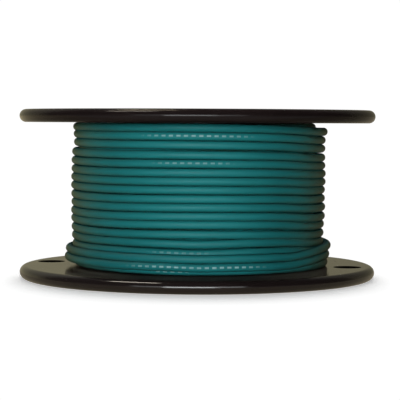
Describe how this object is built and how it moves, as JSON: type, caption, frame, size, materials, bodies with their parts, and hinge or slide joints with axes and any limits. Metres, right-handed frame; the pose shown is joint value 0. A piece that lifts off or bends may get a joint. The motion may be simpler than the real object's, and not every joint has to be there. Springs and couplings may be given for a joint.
{
  "type": "wire spool",
  "caption": "Flanged plastic spool wound with insulated stranded hook-up wire, with an arbor bore and tie-off holes in the flanges.",
  "frame": {"origin": "on the spool axis, in the plane the lower flange rests on", "axes": "+Z along the spool axis from the lower flange to the upper flange, +X to the right and -Y towards the viewer"},
  "size_m": [0.165, 0.165, 0.0782],
  "materials": {
    "flange_plastic": "glossy black moulding",
    "core_plastic": "black moulding",
    "wire_insulation": "satin teal PVC",
    "copper": "bare copper",
    "tape_vinyl": "black vinyl tape"
  },
  "bodies": {
    "root": {"lower_flange": "flange_plastic", "upper_flange": "flange_plastic", "barrel": "core_plastic", "arbor_tube": "core_plastic", "wire_layer_1": "wire_insulation", "wire_layer_2": "wire_insulation", "wire_layer_3": "wire_insulation", "wire_layer_4": "wire_insulation", "wire_layer_5": "wire_insulation", "wire_layer_6": "wire_insulation", "wire_outer_turns": "wire_insulation", "conductor_layer_1": "copper", "conductor_layer_2": "copper", "conductor_layer_3": "copper", "conductor_layer_4": "copper", "conductor_layer_5": "copper", "conductor_layer_6": "copper", "conductor_outer_turns": "copper", "conductor_strands": "copper", "end_tape": "tape_vinyl"}
  },
  "joints": []
}
